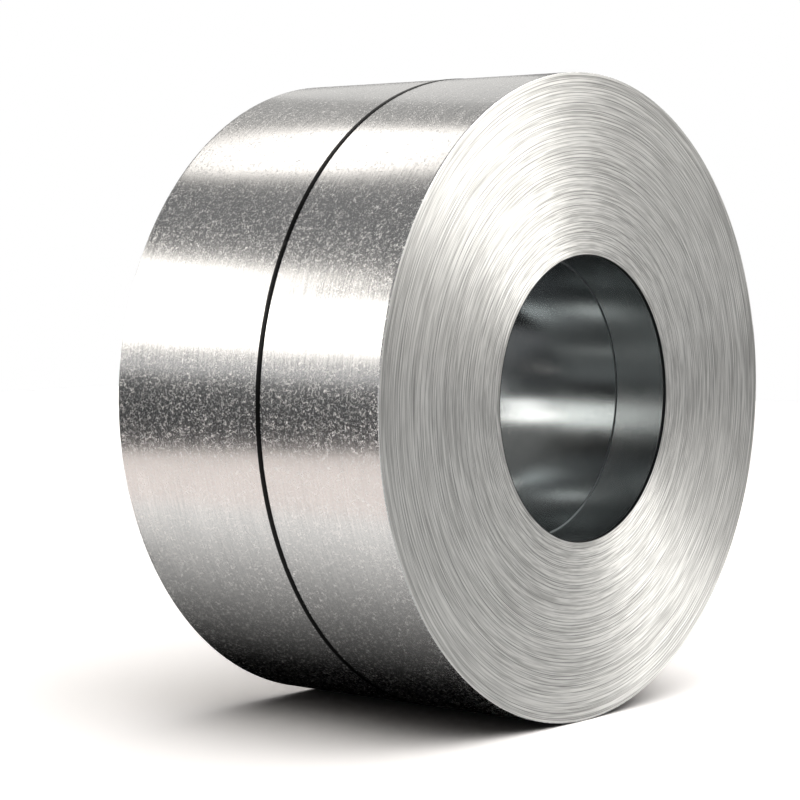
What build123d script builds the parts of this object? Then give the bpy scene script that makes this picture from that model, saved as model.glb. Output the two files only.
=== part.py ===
from build123d import *
import math
import os

# Sizes are in millimetres. The coil lies on its round side: its axis runs along Y, its front end
# is at -Y, and the origin is at the bottom centre, on the floor that it lies on.

# Strip, coil width and bore
strip_thickness = 2.0
wound_turns = 162
coil_width = 597.0
mandrel_radius = 254.0
inner_turns = 1
inner_turn_setback = 110.0

# Wound edges: neighbouring turns that lie level make a band
bands = 15
band_unevenness = 0.36
deepest_set_in = 1.0
flush_every = 4

# Outer tail of the strip, on the hidden side: its edge stands one strip thickness proud of the
# turn below, which rises to the full radius over the reach
tail_angle = 12.0
tail_reach = 70.0

# Steel band round the middle
strap_width = 10.0
strap_thickness = 0.8
strap_from_front = 263.3

# Crimped seal that joins the band, on the hidden side
seal_angle = -20.0
seal_length = 32.0
seal_wall = 0.9
seal_play = 0.2
seal_notch_width = 3.0
seal_notch_depth = 2.2
lap_length = 66.0

# Worked out from the sizes above
golden = (math.sqrt(5) - 1) / 2
opening_radius = mandrel_radius + inner_turns * strip_thickness
outer_radius = opening_radius + wound_turns * strip_thickness
axis_height = outer_radius + strap_thickness
front = -coil_width / 2
back = coil_width / 2
strap_y = front + strap_from_front
strap_front = strap_y - strap_width / 2
strap_back = strap_y + strap_width / 2
tail_shift = strip_thickness / math.sin(math.radians(tail_reach))
tail_lean = tail_angle + tail_reach - 90.0


def around(angle, radius, centre=(0.0, 0.0), y=0.0):
    """A point round the coil's axis, or round a centre off it. Angles are from +X towards +Z."""
    turn = math.radians(angle)
    across = centre[0] + radius * math.cos(turn)
    up = centre[1] + radius * math.sin(turn)
    return (across, y, axis_height + up)


def lowered_centre():
    """Centre of the round surface that the tail lies on, seen from the coil's axis."""
    lean = math.radians(tail_lean)
    return (-tail_shift * math.cos(lean), -tail_shift * math.sin(lean))


def band_radii():
    """Radii where one band of level turns ends and the next begins, each a whole turn."""
    radii = [opening_radius]
    for index in range(1, bands):
        sway = band_unevenness * math.sin(2 * math.pi * index * golden)
        turns = round((index + sway) * wound_turns / bands)
        radii.append(opening_radius + turns * strip_thickness)
    radii.append(outer_radius)
    return radii


def set_in(index, phase):
    """How far a band's edges lie in from the end of the coil: some bands are flush."""
    if index % flush_every == 0 or index == bands - 1:
        return 0.0
    return deepest_set_in * (0.2 + 0.8 * ((index * golden + phase) % 1.0))


def end_steps(end, inward, phase):
    """Points of one end's stepped edge, from the bore outwards, as (radius, place along Y)."""
    radii = band_radii()
    points = []
    for index in range(bands):
        level = end + inward * set_in(index, phase)
        points.append((radii[index], level))
        points.append((radii[index + 1], level))
    return points


def turned(points):
    """A solid turned round the coil's axis from (radius, place along Y) points."""
    outline = [around(-90.0, radius, y=y) for radius, y in points]
    profile = make_face(Polyline(*outline, close=True))
    return revolve(profile, Axis((0, 0, axis_height), (0, 1, 0)), 360)


def along_axis(outline, y_from, y_to):
    """A solid of one outline in the end view, from one place along Y to another."""
    return Pos(0, y_from, 0) * extrude(make_face(outline), amount=y_to - y_from, dir=(0, 1, 0))


def sector(radius, y_from, y_to, angle_from, angle_to):
    """A pie slice round the coil's axis."""
    corner = (0, 0, axis_height)
    first = around(angle_from, radius)
    middle = around((angle_from + angle_to) / 2, radius)
    last = around(angle_to, radius)
    rim = ThreePointArc(first, middle, last)
    return along_axis(Line(corner, first) + rim + Line(last, corner), y_from, y_to)


def tail_relief():
    """What the outermost turn leaves free beyond its tail: a crescent that thins to nothing."""
    past_meeting = tail_angle + tail_reach + 2.0
    wedge = sector(2 * outer_radius, front, back, tail_angle, past_meeting)
    across, up = lowered_centre()
    place = Location((across, 0, axis_height + up), (90, 0, 0))
    return wedge - place * Cylinder(outer_radius, 2 * coil_width)


def make_coil():
    """The wound strip as one turned solid with its bore and its stepped ends."""
    outline = end_steps(front, 1, 0.15)
    outline += list(reversed(end_steps(back, -1, 0.55)))
    outline.append((mandrel_radius, back))
    outline.append((mandrel_radius, front + inner_turn_setback))
    outline.append((opening_radius, front + inner_turn_setback))
    return turned(outline) - tail_relief()


def band_outline(radius):
    """The closed path of a tight band at one radius: it runs straight off the tail's edge."""
    centre = lowered_centre()
    meeting = tail_lean + math.degrees(math.acos(-tail_shift / 2 / radius))
    edge = around(tail_angle, radius)
    rise = math.atan2(edge[2] - axis_height - centre[1], edge[0] - centre[0])
    distance = math.hypot(edge[2] - axis_height - centre[1], edge[0] - centre[0])
    landing = math.degrees(rise + math.acos(radius / distance))
    touch = around(landing, radius, centre)
    join = around(meeting, radius)
    far = around((meeting + tail_angle + 360.0) / 2, radius)
    lowered = around((landing + meeting) / 2, radius, centre)
    return ThreePointArc(join, far, edge) + Line(edge, touch) + ThreePointArc(touch, lowered, join)


def make_strap():
    """The steel band: one closed turn, with its second layer where the ends lap."""
    middle = outer_radius + strap_thickness
    top = middle + strap_thickness
    ring = along_axis(band_outline(middle), strap_front, strap_back)
    ring -= along_axis(band_outline(outer_radius), strap_front, strap_back)
    half_lap = math.degrees(lap_length / 2 / middle)
    rounded = [
        (middle, strap_front),
        (top, strap_front),
        (top, strap_back),
        (middle, strap_back),
    ]
    reach = sector(2 * top, strap_front, strap_back, seal_angle - half_lap, seal_angle + half_lap)
    return ring + (turned(rounded) & reach)


def make_seal():
    """The seal: a folded clip over both layers of the band, notched along its two edges."""
    inner = outer_radius + 2 * strap_thickness
    outer = inner + seal_wall
    in_front = strap_front - seal_play
    behind = strap_back + seal_play
    y_low = in_front - seal_wall
    y_high = behind + seal_wall
    section = [
        (outer_radius, y_low),
        (outer, y_low),
        (outer, y_high),
        (outer_radius, y_high),
        (outer_radius, behind),
        (inner, behind),
        (inner, in_front),
        (outer_radius, in_front),
    ]
    half = math.degrees(seal_length / 2 / outer)
    clip = turned(section) & sector(2 * outer, y_low, y_high, seal_angle - half, seal_angle + half)
    half_notch = math.degrees(seal_notch_width / 2 / outer)
    for share in (-0.5, 0.5):
        at = seal_angle + share * half
        for y_from in (y_low, y_high - seal_notch_depth):
            y_to = y_from + seal_notch_depth
            clip -= sector(2 * outer, y_from, y_to, at - half_notch, at + half_notch)
    return clip


os.makedirs("parts", exist_ok=True)
export_step(make_coil(), "parts/coil.step")
export_step(make_strap(), "parts/strap.step")
export_step(make_seal(), "parts/strap_seal.step")
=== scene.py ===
import math

import bpy
import numpy as np
from mathutils import Matrix, Vector


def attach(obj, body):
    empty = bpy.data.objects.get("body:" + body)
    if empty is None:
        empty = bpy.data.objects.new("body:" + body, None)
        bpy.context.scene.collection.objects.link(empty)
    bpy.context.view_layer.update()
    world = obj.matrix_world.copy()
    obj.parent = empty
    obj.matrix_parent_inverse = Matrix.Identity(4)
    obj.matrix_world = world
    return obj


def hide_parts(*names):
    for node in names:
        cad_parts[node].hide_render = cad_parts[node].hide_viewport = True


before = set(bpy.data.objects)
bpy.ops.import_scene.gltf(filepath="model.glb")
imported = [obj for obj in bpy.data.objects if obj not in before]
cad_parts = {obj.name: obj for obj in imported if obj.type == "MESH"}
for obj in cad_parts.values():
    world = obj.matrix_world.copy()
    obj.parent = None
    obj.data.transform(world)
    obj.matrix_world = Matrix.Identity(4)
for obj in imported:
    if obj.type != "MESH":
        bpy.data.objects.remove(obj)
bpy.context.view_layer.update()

# Sizes in metres and angles in degrees. An angle round the coil runs from +X towards +Z, and the
# front end of the coil is at -Y.
mm = 0.001
strip_thickness = 2.0 * mm
wound_turns = 162
coil_width = 597.0 * mm
bore_radius = 254.0 * mm
opening_radius = 256.0 * mm
outer_radius = 580.0 * mm
axis_height = 580.8 * mm
inner_turn_setback = 110.0 * mm
tail_angle = 12.0
tail_reach = 70.0
strap_width = 10.0 * mm
strap_thickness = 0.8 * mm
strap_middle = 263.3 * mm
seal_angle = -20.0
lap_length = 66.0 * mm

# Wound edges
steps_round = 180
bands = 15
band_unevenness = 0.36
deepest_set_in = 1.0 * mm
flush_every = 4
turn_unevenness = 0.04 * mm
groove_depth = 0.22 * mm
corner_width = 0.3 * mm
rim_rounding = 1.2 * mm
# What is left of the outermost turn right beyond its tail, so that no face there has zero area
tail_sliver = 0.03 * mm

# Where the two halves meet under the band: the hidden faces are dished between two margins
joint_dish = 1.0 * mm
joint_outer_margin = 5.0 * mm
joint_bore_margin = 3.0 * mm

band_edge_rounding = 0.22 * mm

# Studio: reflections show the dome and the boards, and the overhead and side lights only fall on
# the floor
dome_grey = 0.235
horizon_low = 0.04
horizon_top = 0.24
least_light = 0.03
overhead_light = 1.95
side_light = 0.6
floor_seen = 1.9
floor_front = 0.97
floor_behind = 1.74
floor_bounce = 0.1
floor_reach = 9.0
board_distance = 5.0
front_distance = 3.6
bore_card_depth = 0.62
# Height of the sheet that carries the painted shadow under the coil
painted_shadow_height = 0.001
lying_height = 0.002
board_white = (1.0, 0.985, 0.955, 1)

half_width = coil_width / 2
strap_at = half_width - strap_middle
tail_shift = strip_thickness / math.sin(math.radians(tail_reach))
tail_lean = tail_angle + tail_reach - 90.0
golden = (math.sqrt(5) - 1) / 2

# Everything wound is made with the coil's axis along the piece's own Z, front end up, and then laid
# down: its own Y becomes up, and its own Z points to the front.
laid_down = Matrix.Translation((0, 0, axis_height)) @ Matrix.Rotation(math.pi / 2, 4, "X")


# Nodes


class Board:
    """The nodes of one material or group, laid out by plain calls."""

    def __init__(self, tree):
        self.tree = tree
        tree.nodes.clear()

    def put(self, kind, **settings):
        """A new node with its settings."""
        node = self.tree.nodes.new(kind)
        for name, value in settings.items():
            setattr(node, name, value)
        return node

    def feed(self, socket, value):
        """Links another node's output to a socket, or sets the socket's own value."""
        if isinstance(value, bpy.types.NodeSocket):
            self.tree.links.new(value, socket)
        else:
            socket.default_value = value

    def fill(self, node, **values):
        """Feeds a node's inputs by name, with _ for a space."""
        for name, value in values.items():
            self.feed(node.inputs[name.replace("_", " ")], value)
        return node

    def sums(self, operation, *values):
        node = self.put("ShaderNodeMath", operation=operation)
        for socket, value in zip(node.inputs, values):
            self.feed(socket, value)
        return node.outputs[0]

    def added(self, start, *shares):
        """A start value plus the given share of each mask."""
        total = start
        for mask, share in shares:
            total = self.sums("MULTIPLY_ADD", mask, share, total)
        return total

    def split(self, vector):
        """The three parts of a vector."""
        node = self.put("ShaderNodeSeparateXYZ")
        self.feed(node.inputs[0], vector)
        return node.outputs

    def off_axis(self, x, y):
        """Distance from the coil's axis."""
        square = self.sums("ADD", self.sums("MULTIPLY", x, x), self.sums("MULTIPLY", y, y))
        return self.sums("SQRT", square)

    def spread(self, value, low, high, to_low=0.0, to_high=1.0):
        node = self.put("ShaderNodeMapRange", interpolation_type="SMOOTHSTEP")
        ends = {"From_Min": low, "From_Max": high, "To_Min": to_low, "To_Max": to_high}
        return self.fill(node, Value=value, **ends).outputs["Result"]

    def noise(self, vector, scale, detail=2.0, roughness=0.5, distortion=0.0):
        node = self.put("ShaderNodeTexNoise")
        self.fill(node, Vector=vector, Scale=scale, Detail=detail)
        return self.fill(node, Roughness=roughness, Distortion=distortion).outputs["Fac"]

    def blend(self, share, first, second):
        node = self.put("ShaderNodeMix", data_type="RGBA")
        self.feed(node.inputs[0], share)
        self.feed(node.inputs[6], first)
        self.feed(node.inputs[7], second)
        return node.outputs[2]

    def bump(self, height, strength, distance, normal=None):
        node = self.put("ShaderNodeBump")
        self.fill(node, Height=height, Strength=strength, Distance=distance)
        if normal is not None:
            self.feed(node.inputs["Normal"], normal)
        return node.outputs["Normal"]

    def group(self, tree, **values):
        node = self.put("ShaderNodeGroup", node_tree=tree)
        return self.fill(node, **values)

    def lead_out(self, kind, source):
        """Joins a shader to the output of a material or of the world."""
        self.feed(self.put(kind).inputs["Surface"], source)


def new_group(name, inputs, outputs):
    """An empty node group: inputs are (name, value) and outputs are names of values."""
    tree = bpy.data.node_groups.new(name, "ShaderNodeTree")
    board = Board(tree)
    for label, value in inputs:
        kind = "NodeSocketVector" if value is None else "NodeSocketFloat"
        socket = tree.interface.new_socket(label, in_out="INPUT", socket_type=kind)
        if value is not None:
            socket.default_value = value
    for label, kind in outputs:
        tree.interface.new_socket(label, in_out="OUTPUT", socket_type=kind)
    entry = board.put("NodeGroupInput")
    leaving = board.put("NodeGroupOutput")
    return tree, board, entry.outputs, leaving.inputs


def wound_grain_group():
    """Noise drawn out along the turns of the coil, with no seam where the angle starts again."""
    tree, board, given, out = new_group(
        "wound grain",
        [("Place", None), ("Along", 10.0), ("Across", 0.0), ("Outward", 0.0), ("Detail", 2.0)],
        [("Grain", "NodeSocketFloat")],
    )
    x, y, z = board.split(given["Place"])
    radius = board.off_axis(x, y)
    turned = board.put("ShaderNodeCombineXYZ")
    along_x = board.sums("MULTIPLY", board.sums("DIVIDE", x, radius), given["Along"])
    along_y = board.sums("MULTIPLY", board.sums("DIVIDE", y, radius), given["Along"])
    depth = board.sums("MULTIPLY", z, given["Across"])
    depth = board.sums("MULTIPLY_ADD", radius, given["Outward"], depth)
    board.feed(turned.inputs[0], along_x)
    board.feed(turned.inputs[1], along_y)
    board.feed(turned.inputs[2], depth)
    board.feed(out["Grain"], board.noise(turned.outputs[0], 1.0, given["Detail"], 0.55))
    return tree


def turn_gap_group():
    """Fine lines where neighbouring turns lie apart, for painted shade in the open gaps: some gaps
    are open, and they come and go.
    """
    tree, board, given, out = new_group(
        "turn gaps",
        [("Place", None), ("Line Width", 0.3), ("Open Share", 0.4), ("Along", 9.0)],
        [("Gap Shade", "NodeSocketFloat"), ("Turn Tone", "NodeSocketFloat")],
    )
    x, y, _ = board.split(given["Place"])
    radius = board.off_axis(x, y)
    count = board.sums("DIVIDE", board.sums("SUBTRACT", radius, opening_radius), strip_thickness)
    gap = board.sums("ROUND", count)
    off_gap = board.sums("ABSOLUTE", board.sums("SUBTRACT", count, gap))
    core = board.sums("MULTIPLY", given["Line Width"], 0.4)
    line = board.spread(off_gap, core, given["Line Width"], 1.0, 0.0)

    def along_turn(number, spacing, reach):
        spot = board.put("ShaderNodeCombineXYZ")
        for socket, part in zip(spot.inputs, (x, y)):
            turned = board.sums("DIVIDE", part, radius)
            board.feed(socket, board.sums("MULTIPLY", turned, reach))
        board.feed(spot.inputs[2], board.sums("MULTIPLY", number, spacing))
        return board.noise(spot.outputs[0], 1.0, 2.0, 0.6)

    pick = board.put("ShaderNodeTexWhiteNoise", noise_dimensions="1D")
    board.feed(pick.inputs["W"], gap)
    turned_up = board.sums("LESS_THAN", board.sums("FLOORED_MODULO", gap, 3.0), 0.5)
    often = board.sums("MULTIPLY", turned_up, board.sums("GREATER_THAN", pick.outputs[0], 0.15))
    seldom = board.sums("GREATER_THAN", pick.outputs[0], 0.75)
    chosen = board.sums("MAXIMUM", often, board.sums("MULTIPLY", seldom, 0.7))
    least = board.sums("SUBTRACT", 0.75, given["Open Share"])
    strength = along_turn(gap, 7.31, given["Along"])
    strength = board.spread(strength, least, board.sums("ADD", least, 0.35))
    strength = board.sums("MULTIPLY", strength, chosen)
    board.feed(out["Gap Shade"], board.sums("MULTIPLY", line, strength))
    turn = board.sums("FLOOR", count)
    shorter = board.sums("MULTIPLY", given["Along"], 1.8)
    board.feed(out["Turn Tone"], along_turn(turn, 3.17, shorter))
    return tree


def zinc_fleck_group():
    """Short curled ridges and specks of the zinc skin, as a mask."""
    tree, board, given, out = new_group(
        "zinc flecks",
        [("Place", None), ("Scale", 150.0), ("Thickness", 0.03), ("Amount", 0.5)],
        [("Flecks", "NodeSocketFloat"), ("Skin", "NodeSocketFloat")],
    )
    shifted = board.put("ShaderNodeVectorMath", operation="ADD")
    board.feed(shifted.inputs[0], given["Place"])
    board.feed(shifted.inputs[1], (3.7, 1.9, 5.3))
    skin = board.noise(shifted.outputs[0], given["Scale"], 1.0, 0.5, 1.1)
    off_middle = board.sums("ABSOLUTE", board.sums("SUBTRACT", skin, 0.5))
    ridge = board.spread(off_middle, 0.0, given["Thickness"], 1.0, 0.0)
    patches = board.noise(given["Place"], given["Scale"], 1.0, 0.5)
    least = board.sums("SUBTRACT", 1.0, given["Amount"])
    shown = board.spread(patches, board.sums("SUBTRACT", least, 0.05), least)
    board.feed(out["Flecks"], board.sums("MULTIPLY", ridge, shown))
    board.feed(out["Skin"], skin)
    return tree


def blank_material(name):
    material = bpy.data.materials.new(name)
    material.use_nodes = True
    return material, Board(material.node_tree)


def new_material(name):
    """A material with its shader, and the place on the piece that its patterns follow."""
    material, board = blank_material(name)
    shader = board.put("ShaderNodeBsdfPrincipled")
    board.lead_out("ShaderNodeOutputMaterial", shader.outputs[0])
    place = board.put("ShaderNodeTexCoord").outputs["Object"]
    return material, board, shader, place


def strip_material(wound_grain, zinc_flecks):
    """The rolled, zinc-coated face of the strip on the outside of the coil."""
    material, board, shader, place = new_material("zinc strip")
    worms = board.group(zinc_flecks, Place=place, Scale=136.0, Thickness=0.036, Amount=0.46)
    specks = board.group(zinc_flecks, Place=place, Scale=260.0, Thickness=0.04, Amount=0.43)
    streaks = board.group(wound_grain, Place=place, Along=5.0, Across=260.0, Detail=3.0)
    stains = board.noise(place, 5.0, 3.0, 0.6)
    grain = streaks.outputs["Grain"]
    long, short = worms.outputs["Flecks"], specks.outputs["Flecks"]
    tone = board.added(0.0, (long, 0.90), (short, 0.45), (grain, 0.50), (stains, 0.20))
    shade = board.blend(tone, (0.415, 0.424, 0.43, 1), (0.98, 0.968, 0.963, 1))
    board.feed(shader.inputs["Base Color"], shade)
    dull = board.added(0.14, (grain, 0.14), (long, 0.37), (short, 0.18))
    board.fill(shader, Roughness=dull, Metallic=1.0)
    waves = board.noise(place, 7.0, 2.0, 0.5)
    normal = board.bump(waves, 0.3, 0.8 * mm)
    normal = board.bump(grain, 0.5, 0.18 * mm, normal)
    normal = board.bump(specks.outputs["Skin"], 0.3, 0.08 * mm, normal)
    normal = board.bump(long, 0.5, 0.09 * mm, normal)
    board.feed(shader.inputs["Normal"], normal)
    return material


def bore_material(wound_grain, zinc_flecks):
    """The same strip inside the bore, where the mandrel has kept it cleaner and smoother, with
    painted shade near its ends and at the step.
    """
    material, board, shader, place = new_material("bore strip")
    specks = board.group(zinc_flecks, Place=place, Scale=420.0, Thickness=0.06, Amount=0.45)
    streaks = board.group(wound_grain, Place=place, Along=9.0, Across=300.0, Detail=3.0)
    stains = board.noise(place, 9.0, 3.0, 0.6)
    grain = streaks.outputs["Grain"]
    tone = board.added(0.1, (specks.outputs["Flecks"], 0.6), (grain, 0.3), (stains, 0.3))
    shade = board.blend(tone, (0.25, 0.272, 0.28, 1), (0.42, 0.442, 0.445, 1))
    along = board.split(place)[2]
    # Painted shade: near-black within a few millimetres of the bore's ends and in a thin line at
    # the step where the innermost turns are set back.
    from_end = board.sums("SUBTRACT", half_width, board.sums("ABSOLUTE", along))
    painted_rim_shade = board.spread(from_end, 4.5 * mm, 7.0 * mm, 1.0, 0.0)
    step = half_width - inner_turn_setback
    seam = board.sums("ABSOLUTE", board.sums("SUBTRACT", along, step))
    painted_seam_shade = board.spread(seam, 0.2 * mm, 1.4 * mm, 0.6, 0.0)
    dark = board.sums("MAXIMUM", painted_rim_shade, painted_seam_shade)
    board.feed(shader.inputs["Base Color"], board.blend(dark, shade, (0.02, 0.022, 0.023, 1)))
    before_step = board.sums("GREATER_THAN", along, step)
    dull = board.added(0.115, (grain, 0.05), (stains, 0.06), (before_step, 0.07), (dark, 0.3))
    board.fill(shader, Roughness=dull, Metallic=1.0)
    normal = board.bump(grain, 0.15, 0.1 * mm)
    normal = board.bump(specks.outputs["Skin"], 0.3, 0.08 * mm, normal)
    board.feed(shader.inputs["Normal"], normal)
    return material


def edge_material(wound_grain, turn_gaps):
    """The sheared edges of the turns, side by side on the ends of the coil, with painted shade in
    open gaps and along the bore's rim.
    """
    material, board, shader, place = new_material("sheared edges")
    gaps = board.group(turn_gaps, Place=place, Line_Width=0.32, Open_Share=0.45, Along=2.4)
    lines = board.group(wound_grain, Place=place, Along=5.0, Outward=430.0, Detail=1.0)
    broad = board.group(wound_grain, Place=place, Along=2.0, Outward=45.0, Detail=2.0)
    fine = board.group(wound_grain, Place=place, Along=12.0, Outward=900.0, Detail=1.0)
    turn_tone = gaps.outputs["Turn Tone"]
    line_grain, broad_grain = lines.outputs["Grain"], broad.outputs["Grain"]
    tone = board.added(-1.55, (turn_tone, 3.6), (line_grain, 0.5), (broad_grain, 0.15))
    shade = board.blend(tone, (0.495, 0.492, 0.482, 1), (0.83, 0.823, 0.808, 1))
    # Painted shade in the open gaps between turns; the gaps themselves are real.
    shade = board.blend(gaps.outputs["Gap Shade"], shade, (0.16, 0.156, 0.152, 1))
    # Painted shade: a dark line on the ends where they meet the bore.
    x, y, _ = board.split(place)
    off_bore = board.sums("SUBTRACT", board.off_axis(x, y), opening_radius)
    painted_rim_shade = board.spread(off_bore, 1.4 * mm, 2.6 * mm, 1.0, 0.0)
    board.feed(shader.inputs["Base Color"], board.blend(painted_rim_shade, shade, (0.02, 0.02, 0.021, 1)))
    dull = board.added(0.43, (turn_tone, 0.10))
    board.fill(shader, Roughness=dull, Metallic=1.0)
    board.fill(shader, Anisotropic=0.92, Anisotropic_Rotation=0.25)
    normal = board.bump(fine.outputs["Grain"], 0.25, 0.15 * mm)
    board.feed(shader.inputs["Normal"], normal)
    return material


def band_paint_material():
    """Black baked paint of the steel band, rubbed along its edges."""
    material, board, shader, place = new_material("band paint")
    rubs = board.noise(place, 260.0, 4.0, 0.65)
    edge = board.put("ShaderNodeNewGeometry").outputs["Pointiness"]
    worn = board.spread(board.added(edge, (rubs, 0.10)), 0.60, 0.66)
    shade = board.blend(worn, (0.001, 0.0014, 0.0014, 1), (0.05, 0.05, 0.05, 1))
    board.feed(shader.inputs["Base Color"], shade)
    board.fill(shader, Specular_IOR_Level=0.10, Roughness=board.added(0.24, (rubs, 0.20)))
    board.feed(shader.inputs["Normal"], board.bump(rubs, 0.15, 0.1 * mm))
    return material


# Meshes


def placed(name, data):
    """A new object in the scene."""
    thing = bpy.data.objects.new(name, data)
    bpy.context.scene.collection.objects.link(thing)
    return thing


def angles_round():
    """Angles of the columns of a wound mesh, from one side of the tail's edge to its other side."""
    return np.radians(tail_angle + np.arange(steps_round + 1) * 360.0 / steps_round)


def wrap_radius(angles):
    """Radius of the outside at each column: it drops by one thickness past the tail's edge."""
    radius = np.full(len(angles), outer_radius)
    lean = math.radians(tail_lean)
    lowered = np.degrees(angles) < tail_angle + tail_reach
    inset = -tail_shift * np.cos(angles - lean)
    reach = inset + np.sqrt(inset**2 - tail_shift**2 + outer_radius**2)
    radius[lowered] = np.minimum(reach, outer_radius)[lowered]
    radius[0] += tail_sliver
    return radius


def band_levels(phase):
    """How far each turn's edge lies in from the end, as the solid part has it."""
    edges = [0]
    for index in range(1, bands):
        sway = band_unevenness * math.sin(2 * math.pi * index * golden)
        edges.append(round((index + sway) * wound_turns / bands))
    edges.append(wound_turns)
    levels = np.zeros(wound_turns)
    for index in range(bands):
        if index % flush_every and index != bands - 1:
            share = 0.2 + 0.8 * ((index * golden + phase) % 1.0)
            levels[edges[index] : edges[index + 1]] = deepest_set_in * share
    # The bands slope into each other over some turns
    reach, softness = 12, 4.5
    spread = np.exp(-0.5 * (np.arange(-reach, reach + 1) / softness) ** 2)
    padded = np.pad(levels, reach, mode="edge")
    return np.convolve(padded, spread / spread.sum(), mode="valid")


def smoothed(field, reach, axis):
    """The field averaged over its neighbours, going round where it closes."""
    offsets = np.arange(-3 * reach, 3 * reach + 1)
    weights = np.exp(-0.5 * (offsets / reach) ** 2)
    total = sum(w * np.roll(field, k, axis=axis) for w, k in zip(weights, offsets))
    return total / total.std()


def uneven_turns(count, seed):
    """Small differences from turn to turn, which come and go along each turn."""
    draw = np.random.default_rng(seed)
    short = smoothed(smoothed(draw.normal(size=(count, steps_round)), 3, 1), 1, 0)
    long = smoothed(smoothed(draw.normal(size=(count, steps_round)), 14, 1), 2, 0)
    single = smoothed(draw.normal(size=(count, steps_round)), 6, 1)
    field = 0.45 * short + 0.6 * long + 0.35 * single
    return np.concatenate([field, field[:, :1]], axis=1)


def end_rings(phase, seed, with_innermost, outside):
    """Rings of one wound end from the bore outwards, as (radius, set-in) at each column."""
    levels = band_levels(phase)
    first = opening_radius
    if with_innermost:
        levels = np.concatenate([[0.0], levels])
        first = bore_radius
    count = len(levels)
    set_in = levels[:, None] + turn_unevenness * uneven_turns(count, seed)
    set_in = np.maximum(set_in, 0.0)
    rings = []
    for index in range(count):
        inner = np.full(steps_round + 1, first + index * strip_thickness)
        outer = inner + strip_thickness
        if index == count - 1:
            outer = outside
        share = (outer - inner) / strip_thickness
        level = set_in[index]
        below = set_in[index - 1] if index else level
        if index:
            rings.append((inner, np.maximum(level, below) + groove_depth))
        else:
            rings.append((inner, level + corner_width))
        rings.append((inner + corner_width * share, level))
        if index < count - 1:
            rings.append((outer - corner_width * share, level))
        else:
            rings.append((outer - rim_rounding * share, level))
    return rings, set_in[-1]


def half_coil(name, end_sign, phase, seed, with_innermost):
    """One half of the coil, from its wound end to the plane under the band, as a closed mesh."""
    angles = angles_round()
    outside = wrap_radius(angles)
    rings, rim_level = end_rings(phase, seed, with_innermost, outside)
    end_rows = len(rings)
    loop = [(radius, end_sign * (half_width - depth)) for radius, depth in rings]
    for lean in (30.0, 60.0, 90.0):
        turn = math.radians(lean)
        share = (outside - (outer_radius - strip_thickness)) / strip_thickness
        radius = outside - rim_rounding * share * (1 - math.sin(turn))
        depth = rim_level + rim_rounding * share * (1 - math.cos(turn))
        loop.append((radius, end_sign * (half_width - depth)))
    reach = end_sign * half_width - strap_at
    for share in (0.012, 0.05, 0.2, 0.4, 0.6, 0.8, 1.0):
        loop.append((outside, end_sign * half_width - reach * share + 0 * angles))
    outer_rows = len(loop) - 1
    still = np.ones(len(angles))
    for radius, at in bore_rings(end_sign, with_innermost):
        loop.append((still * radius, still * at))
    radii = np.array([r for r, _ in loop])
    heights = np.array([h for _, h in loop])
    rows, columns = radii.shape
    points = np.stack([radii * np.cos(angles), radii * np.sin(angles), heights], axis=-1)
    # The last column is the first one again, except on the outermost turn, where the tail ends.
    split = np.abs(points[:, -1] - points[:, 0]).max(axis=1) > 1e-7
    number = np.arange(rows * columns).reshape(rows, columns)
    number[~split, -1] = number[~split, 0]
    used = np.unique(number)
    place = np.full(rows * columns, -1)
    place[used] = np.arange(len(used))
    faces, worn = woven_faces(place[number], end_rows, outer_rows)
    if end_sign > 0:
        faces = [face[::-1] for face in faces]
    return finished_mesh(name, points.reshape(-1, 3)[used], faces, worn)


def bore_rings(end_sign, with_innermost):
    """Rings from the joint under the band along the bore to the end, as (radius, place)."""
    inner = bore_radius
    dished = strap_at + end_sign * joint_dish
    rings = [
        (outer_radius - joint_outer_margin, dished),
        (inner + joint_bore_margin, dished),
        (inner, strap_at),
    ]
    if not with_innermost:
        edge = end_sign * (half_width - inner_turn_setback)
        # The step with its rounded lip, as (radius, millimetres from the step towards the end)
        for radius, offset in (
            (inner, -60.0),
            (inner, -2.5),
            (inner, -0.5),
            (inner + 0.15 * mm, -0.12),
            (inner + 0.5 * mm, 0.0),
            (opening_radius - 0.2 * mm, 0.0),
            (opening_radius, -0.3),
            (opening_radius, 0.4),
            (opening_radius, 2.5),
            (opening_radius, 30.0),
            (opening_radius, 80.0),
            (opening_radius, 108.0),
        ):
            rings.append((radius, edge + end_sign * offset * mm))
    else:
        reach = end_sign * half_width - strap_at
        rings += [(inner, strap_at + reach * share) for share in (0.3, 0.6, 0.9, 0.993)]
    return rings


def woven_faces(number, end_rows, outer_rows):
    """Faces between the rows of a wound mesh, with what each wears: 0 strip, 1 edges, 2 bore."""
    rows, columns = number.shape
    faces, worn = [], []
    for row in range(rows):
        after = (row + 1) % rows
        kind = 1 if row < end_rows - 1 else 0 if row < outer_rows else 2
        a, b = number[row, :-1], number[row, 1:]
        c, d = number[after, 1:], number[after, :-1]
        faces += np.stack([a, d, c, b], axis=1).tolist()
        worn += [kind] * (columns - 1)
        ends = [number[row, -1], number[after, -1], number[after, 0], number[row, 0]]
        corners = list(dict.fromkeys(ends))
        if len(corners) > 2:
            faces.append(corners)
            worn.append(kind)
    return faces, worn


def finished_mesh(name, points, faces, worn=None, sharp=50.0):
    """A piece laid down in the scene: smooth, apart from edges sharper than an angle."""
    mesh = bpy.data.meshes.new(name)
    mesh.from_pydata(np.asarray(points).tolist(), [], faces)
    if worn is not None:
        mesh.polygons.foreach_set("material_index", worn)
    mesh.validate()
    mesh.update()
    mesh.shade_smooth()
    mesh.set_sharp_from_angle(angle=math.radians(sharp))
    piece = placed(name, mesh)
    piece.matrix_world = laid_down
    return piece


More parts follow.
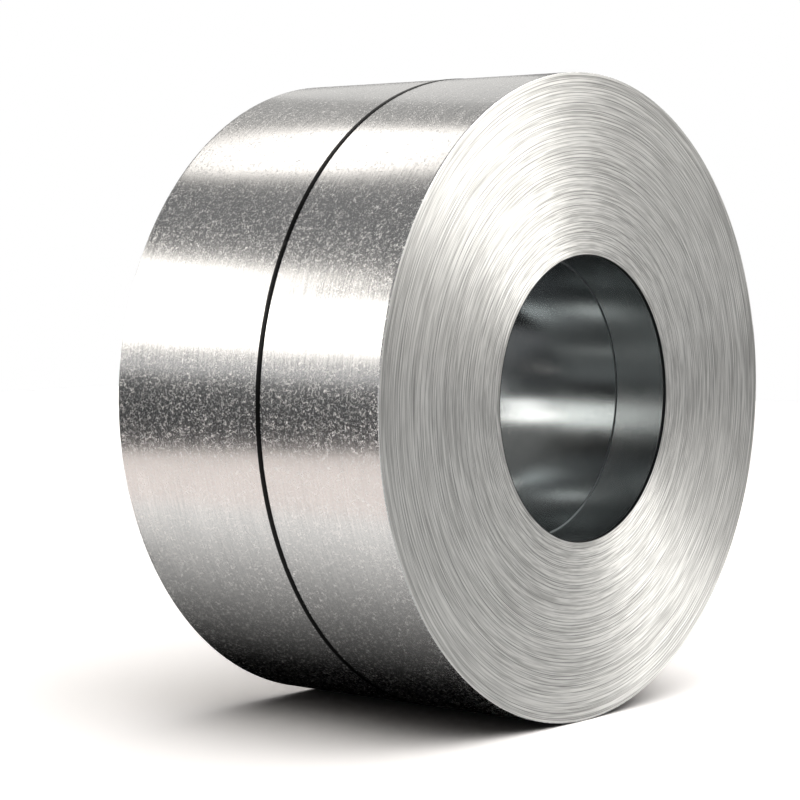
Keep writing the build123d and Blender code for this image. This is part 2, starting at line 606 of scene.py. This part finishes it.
def band_path():
    """The inner line of the tight band, and the way out from it, all the way round."""
    lean = math.radians(tail_lean)
    centre = np.array([-tail_shift * math.cos(lean), -tail_shift * math.sin(lean)])
    edge_angle = math.radians(tail_angle)
    edge = outer_radius * np.array([math.cos(edge_angle), math.sin(edge_angle)])
    meeting = lean + math.acos(-tail_shift / 2 / outer_radius)
    off = edge - centre
    landing = math.atan2(off[1], off[0]) + math.acos(outer_radius / np.hypot(*off))
    low_meeting = lean + math.acos(tail_shift / 2 / outer_radius)
    spots, ways = [], []
    for turn in np.linspace(meeting, edge_angle + 2 * math.pi, 200):
        way = np.array([math.cos(turn), math.sin(turn)])
        spots.append(outer_radius * way)
        ways.append(way)
    for turn in np.linspace(landing, low_meeting, 46)[:-1]:
        way = np.array([math.cos(turn), math.sin(turn)])
        spots.append(centre + outer_radius * way)
        ways.append(way)
    return np.array(spots), np.array(ways)


def band_section():
    """The rounded outline across the band: (place across, height off the coil)."""
    half, high, soft = strap_width / 2, strap_thickness, band_edge_rounding
    corners = [(half, 0.0), (half, high), (-half, high), (-half, 0.0)]
    section = []
    for index, (across, up) in enumerate(corners):
        inward_x = -soft if across > 0 else soft
        inward_y = soft if up == 0.0 else -soft
        start = math.radians((index - 1) * 90.0)
        for step in (0.0, 45.0, 90.0):
            turn = start + math.radians(step)
            x = across + inward_x + soft * math.cos(turn)
            y = up + inward_y + soft * math.sin(turn)
            section.append((x, y))
    return section


def swept_band(spots, ways, lift, closed):
    """Points and faces of the band laid along a line of spots."""
    section = band_section()
    size = len(section)
    points = []
    for spot, way in zip(spots, ways):
        for across, up in section:
            flat = spot + way * (up + lift)
            points.append((flat[0], flat[1], strap_at + across))
    faces = []
    count = len(spots)
    for index in range(count if closed else count - 1):
        after = (index + 1) % count
        for k in range(size):
            n = (k + 1) % size
            faces.append((index * size + k, index * size + n, after * size + n, after * size + k))
    if not closed:
        faces.append(tuple(range(size))[::-1])
        faces.append(tuple((count - 1) * size + k for k in range(size)))
    return points, faces


def make_band():
    """The steel band: one tight turn and its second layer where the ends lap."""
    points, faces = swept_band(*band_path(), 0.0, True)
    middle = outer_radius + strap_thickness
    half_lap = lap_length / 2 / middle
    turns = np.linspace(-half_lap, half_lap, 9) + math.radians(seal_angle)
    ways = np.stack([np.cos(turns), np.sin(turns)], axis=1)
    more_points, more_faces = swept_band(ways * outer_radius, ways, strap_thickness, False)
    shift = len(points)
    faces += [tuple(corner + shift for corner in face) for face in more_faces]
    return finished_mesh("steel_band", points + more_points, faces, sharp=60.0)


# Lights, boards and floor


def direction(azimuth, elevation):
    """A direction from the coil: azimuth from +X towards +Y."""
    az, el = math.radians(azimuth), math.radians(elevation)
    return Vector((math.cos(el) * math.cos(az), math.cos(el) * math.sin(az), math.sin(el)))


def softbox(name, azimuth, elevation, distance, width, height, brightness):
    """A large soft lamp aimed at the coil's middle."""
    lamp = bpy.data.lights.new(name, "AREA")
    lamp.shape = "RECTANGLE"
    lamp.size = width
    lamp.size_y = height
    lamp.energy = brightness * math.pi * width * height
    lamp.color = (1.0, 0.98, 0.935)
    box = placed(name, lamp)
    away = direction(azimuth, elevation)
    box.location = Vector((0, 0, axis_height)) + away * distance
    box.rotation_euler = away.to_track_quat("Z", "Y").to_euler()
    box.visible_camera = False
    box.visible_diffuse = False


def glow_material(name, colour, strength, fades=None):
    """Glow of a board. Where it fades towards its edges, the fades are shares of its two sides."""
    material, board = blank_material(name)
    if fades is not None:
        parts = board.split(board.put("ShaderNodeTexCoord").outputs["UV"])
        for place, fade in zip(parts, fades):
            strength = board.sums("MULTIPLY", board.spread(place, 0.0, fade), strength)
            falling = board.spread(place, 1.0 - fade, 1.0, 1.0, 0.0)
            strength = board.sums("MULTIPLY", falling, strength)
    glow = board.put("ShaderNodeEmission")
    board.fill(glow, Color=colour, Strength=strength)
    board.lead_out("ShaderNodeOutputMaterial", glow.outputs[0])
    return material


def screen(name, azimuths, elevations, distance, material):
    """A curved board round the coil, dark or bright, that only reflections show."""
    points, faces = [], []
    columns = 16
    for elevation in elevations:
        for index in range(columns + 1):
            azimuth = azimuths[0] + (azimuths[1] - azimuths[0]) * index / columns
            reach = distance / math.cos(math.radians(elevation))
            spot = Vector((0, 0, axis_height)) + direction(azimuth, elevation) * reach
            points.append((spot.x, spot.y, max(spot.z, lying_height)))
    for index in range(columns):
        faces.append((index, index + 1, columns + 2 + index, columns + 1 + index))
    mesh = bpy.data.meshes.new(name)
    mesh.from_pydata(points, [], faces)
    across = mesh.uv_layers.new(name="across and up")
    for loop in mesh.loops:
        row, column = divmod(loop.vertex_index, columns + 1)
        across.data[loop.index].uv = (column / columns, row)
    mesh.materials.append(material)
    reflected_only(name, mesh)


def flat_mesh(name, corners):
    mesh = bpy.data.meshes.new(name)
    mesh.from_pydata(corners, [], [(0, 1, 2, 3)])
    return mesh


def lying_rectangle(across, front, back, height):
    sides = ((-across, front), (across, front), (across, back), (-across, back))
    return [(x, y, height) for x, y in sides]


def flat_screen(name, corners, material):
    """A flat board with four corners that only reflections show."""
    mesh = flat_mesh(name, corners)
    mesh.materials.append(material)
    reflected_only(name, mesh)


def reflected_only(name, mesh):
    """A board of the studio that neither the camera nor the floor's light meets."""
    board = placed(name, mesh)
    board.visible_camera = False
    board.visible_diffuse = False
    board.visible_shadow = False
    board.visible_transmission = False


def seen_shares(board):
    """What the camera sees, directly and in a reflection. Both are 0 where the floor is lit."""
    path = board.put("ShaderNodeLightPath").outputs
    mirrored = board.sums("MAXIMUM", path["Is Glossy Ray"], path["Is Transmission Ray"])
    straight = board.sums("LESS_THAN", path["Diffuse Depth"], 0.5)
    return path["Is Camera Ray"], board.sums("MULTIPLY", mirrored, straight)


def make_world():
    """White to the camera, and in reflections white at the horizon under a grey dome.

    What falls on the floor comes from two soft patches overhead, which shape the coil's shadow.
    """
    world = bpy.data.worlds.new("studio")
    world.use_nodes = True
    board = Board(world.node_tree)
    seen, mirrored = seen_shares(board)
    way = board.put("ShaderNodeTexCoord").outputs["Generated"]
    height = board.split(way)[2]
    dome = board.spread(height, horizon_low, horizon_top, 1.0, dome_grey)
    overhead = least_light
    for azimuth, elevation, wide, narrow, brightness in (
        (-111.0, 61.0, 0.755, 0.965, overhead_light),
        (1.0, 61.0, 0.55, 0.95, side_light),
    ):
        facing = board.put("ShaderNodeVectorMath", operation="DOT_PRODUCT")
        board.feed(facing.inputs[0], way)
        board.feed(facing.inputs[1], direction(azimuth, elevation))
        lobe = board.spread(facing.outputs["Value"], wide, narrow, 0.0, brightness)
        overhead = board.sums("ADD", overhead, lobe)
    level = board.put("ShaderNodeMix", data_type="FLOAT")
    board.feed(level.inputs[0], mirrored)
    board.feed(level.inputs[2], overhead)
    board.feed(level.inputs[3], dome)
    strength = board.sums("MAXIMUM", seen, level.outputs[0])
    sky = board.put("ShaderNodeBackground")
    board.fill(sky, Color=(1.0, 1.0, 1.0, 1), Strength=strength)
    board.lead_out("ShaderNodeOutputWorld", sky.outputs[0])
    bpy.context.scene.world = world


def make_floor():
    """A pale floor that keeps the coil's shadow, with painted light that makes it brighter and
    warmer in reflections behind the coil.
    """
    mesh = flat_mesh("floor", lying_rectangle(floor_reach, -floor_reach, floor_reach, 0.0))
    floor = placed("floor", mesh)
    material, board = blank_material("pale floor")
    seen, mirrored = seen_shares(board)
    surface = board.put("ShaderNodeBsdfDiffuse")
    place = board.put("ShaderNodeTexCoord").outputs["Object"]
    _, back, _ = board.split(place)
    # Painted light: seen in reflections, the floor is brighter behind the coil than in front of it,
    # and warmer behind.
    behind = board.spread(back, -0.45, 0.35, floor_front, floor_behind)
    extra = board.sums("SUBTRACT", behind, floor_bounce)
    level = board.added(floor_bounce, (mirrored, extra), (seen, floor_seen - floor_bounce))
    warm = board.put("ShaderNodeMix", data_type="VECTOR")
    warmth = board.sums("MULTIPLY", mirrored, board.spread(back, -0.3, 0.2))
    board.feed(warm.inputs[0], board.added(warmth, (seen, 0.35)))
    board.feed(warm.inputs[4], (1.0, 1.0, 0.985))
    board.feed(warm.inputs[5], (1.0, 0.90, 0.85))
    tint = board.put("ShaderNodeVectorMath", operation="SCALE")
    board.feed(tint.inputs[0], warm.outputs[1])
    board.feed(tint.inputs["Scale"], level)
    board.feed(surface.inputs["Color"], tint.outputs[0])
    board.lead_out("ShaderNodeOutputMaterial", surface.outputs[0])
    mesh.materials.append(material)


def make_camera():
    """The photograph's view, fitted to both ends of the coil, its bore and its far edge."""
    lens = bpy.data.cameras.new("camera")
    lens.lens = 109.888
    lens.sensor_width = 36.0
    camera = placed("camera", lens)
    camera.location = (-3.57874, -2.81111, 0.82274)
    camera.rotation_euler = (math.radians(86.79393933), 0.0, math.radians(-50.55025649))
    bpy.context.scene.camera = camera


def make_studio():
    bpy.context.scene.view_settings.view_transform = "Standard"
    make_camera()
    make_world()
    make_floor()
    softbox("key softbox", -62.0, 35.0, 6.0, 4.0, 3.9, 4.0)
    softbox("front left softbox", -87.0, 30.0, 6.5, 3.0, 2.6, 1.5)
    softbox("right softbox", -36.0, 32.0, 5.5, 2.8, 2.6, 1.3)
    shade = make_boards()
    make_bore_cards(shade)
    make_painted_shadow_mat()


def make_boards():
    """What the strip reflects: bright boards for its light bands and screens for its dark ones."""
    warm = (1.0, 0.955, 0.90, 1)
    for name, azimuths, elevations, strength, fades in (
        ("back left board", (115.0, 153.0), (11.2, 27.0), 4.9, (0.03, 0.23)),
        ("back left high board", (111.0, 138.0), (25.0, 34.0), 3.8, (0.16, 0.40)),
        ("back top board", (65.0, 99.0), (43.0, 56.8), 3.3, (0.16, 0.30)),
    ):
        glow = glow_material(name, warm, strength, fades)
        screen(name, azimuths, elevations, board_distance, glow)
    plain = glow_material("plain board", board_white, 0.85)
    soft = glow_material("soft board", board_white, 0.48)
    dark = glow_material("charcoal screen", (0.03, 0.03, 0.032, 1), 1.0)
    shade = glow_material("shade screen", (0.075, 0.078, 0.08, 1), 1.0)
    front = glow_material("front board", board_white, 1.0)
    for name, azimuths, elevations, distance, material in (
        ("back right board", (36.0, 51.0), (13.0, 50.0), board_distance, plain),
        ("back right far board", (51.0, 66.0), (13.0, 50.0), board_distance, soft),
        ("right board", (-24.0, 24.0), (15.0, 58.0), board_distance, plain),
        ("back left low screen", (112.0, 168.0), (-15.8, 5.0), 2.3, shade),
        ("back right low screen", (20.0, 62.0), (-3.0, 19.0), 4.5, dark),
        ("front low screen", (-112.0, 27.0), (-5.0, 1.6), front_distance, dark),
        ("front board", (-112.0, 5.0), (1.6, 20.0), front_distance, front),
    ):
        screen(name, azimuths, elevations, distance, material)
    return shade


def make_bore_cards(shade):
    """What the bore reflects: cards that stand behind the coil and a board on the floor."""
    dim = glow_material("dim screen", (0.28, 0.28, 0.285, 1), 1.0)
    half_lit = glow_material("half lit card", board_white, 0.27)
    upper = glow_material("upper card", board_white, 0.75)
    bright = glow_material("bore card", board_white, 4.8)
    band = glow_material("bore band card", (1.0, 0.965, 0.92, 1), 4.2)
    for name, near, far, low, top, material in (
        ("low", -0.16, -0.43, 0.0, 0.42, dim),
        ("far", -0.43, -0.62, 0.0, 0.62, shade),
        ("high", -0.02, -0.44, 0.80, 1.30, half_lit),
        ("over", -0.44, -0.62, 0.875, 1.15, half_lit),
        ("upper", -0.04, -0.345, 0.66, 0.80, upper),
        ("middle", -0.345, -0.46, 0.43, 0.78, dim),
        ("bright", -0.23, -0.345, 0.50, 0.65, bright),
        ("band", -0.46, -0.62, 0.65, 0.86, band),
    ):
        sides = ((near, low), (far, low), (far, top), (near, top))
        standing = [(across, bore_card_depth, up) for across, up in sides]
        flat_screen("bore screen " + name, standing, material)
    strong = glow_material("strong board", (1.0, 0.93, 0.87, 1), 10.0)
    sides = ((0.44, 0.74), (2.9, 2.05), (2.35, 2.3), (0.40, 0.98))
    flat_screen("back right floor board", [(x, y, lying_height) for x, y in sides], strong)


def make_painted_shadow_mat():
    """Painted shadow of the coil on the floor, which only reflections show: a glowing sheet under
    the coil, darkest under the contact line.
    """
    material, board = blank_material("painted shadow screen")
    place = board.put("ShaderNodeTexCoord").outputs["Object"]
    off_line = board.sums("ABSOLUTE", board.split(place)[0])
    # Painted shadow: the glow is 0 under the contact line and grows away from it.
    strength = board.spread(off_line, 0.24, 1.02, 0.0, 1.15)
    glow = board.put("ShaderNodeEmission")
    board.fill(glow, Color=(1.0, 0.98, 0.95, 1), Strength=strength)
    board.lead_out("ShaderNodeOutputMaterial", glow.outputs[0])
    flat_screen("painted shadow screen", lying_rectangle(1.0, -0.297, 0.9, painted_shadow_height), material)


# Making

make_studio()
wound_grain = wound_grain_group()
zinc_flecks = zinc_fleck_group()
strip_face = strip_material(wound_grain, zinc_flecks)
turn_gaps = turn_gap_group()
strip_edges = edge_material(wound_grain, turn_gaps)
bore_face = bore_material(wound_grain, zinc_flecks)
band_paint = band_paint_material()

front_half = half_coil("coil_front_half", 1, 0.15, 11, False)
back_half = half_coil("coil_back_half", -1, 0.55, 12, True)
for piece in (front_half, back_half):
    piece.data.materials.append(strip_face)
    piece.data.materials.append(strip_edges)
    piece.data.materials.append(bore_face)
    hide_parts("coil")
    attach(piece, "root")
steel_band = make_band()
steel_band.data.materials.append(band_paint)
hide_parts("strap")
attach(steel_band, "root")
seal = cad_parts["strap_seal"]
seal.data.materials.clear()
seal.data.materials.append(band_paint)
